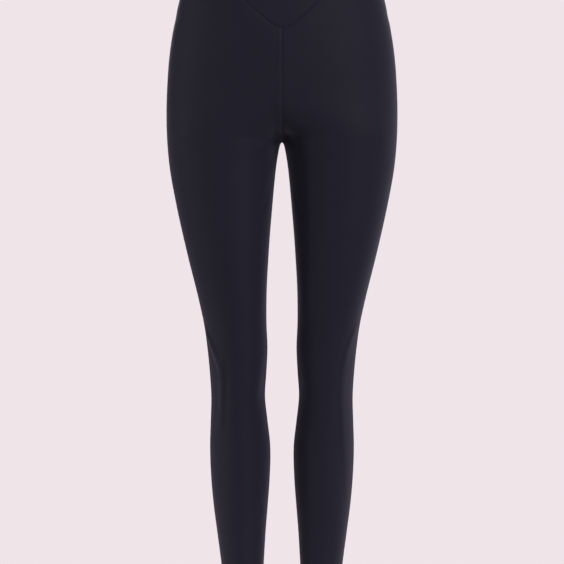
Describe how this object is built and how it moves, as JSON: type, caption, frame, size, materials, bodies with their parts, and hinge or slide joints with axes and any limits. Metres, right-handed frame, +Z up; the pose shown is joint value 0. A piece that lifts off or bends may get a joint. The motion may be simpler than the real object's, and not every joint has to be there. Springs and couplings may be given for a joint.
{
  "type": "leggings",
  "caption": "High-waisted, ankle-length leggings in plain stretch jersey, hollow as worn, with a waistband that dips to a V at the front and turned-up hems.",
  "frame": {"origin": "centre of the waist opening, level with the top edge at the side seams, where the wearer holds the garment up", "axes": "+Z up along the garment's length, -Y the wearer's front, +X the wearer's left"},
  "size_m": [0.345, 0.2255, 0.9701],
  "materials": {
    "jersey": "matte near-black double-knit stretch jersey with a faint cool sheen",
    "waistband": "the same near-black jersey, doubled"
  },
  "bodies": {
    "root": {"waistband_front": "waistband", "waistband_back": "waistband", "leg_front_left": "jersey", "leg_front_right": "jersey", "leg_back_left": "jersey", "leg_back_right": "jersey"}
  },
  "joints": []
}
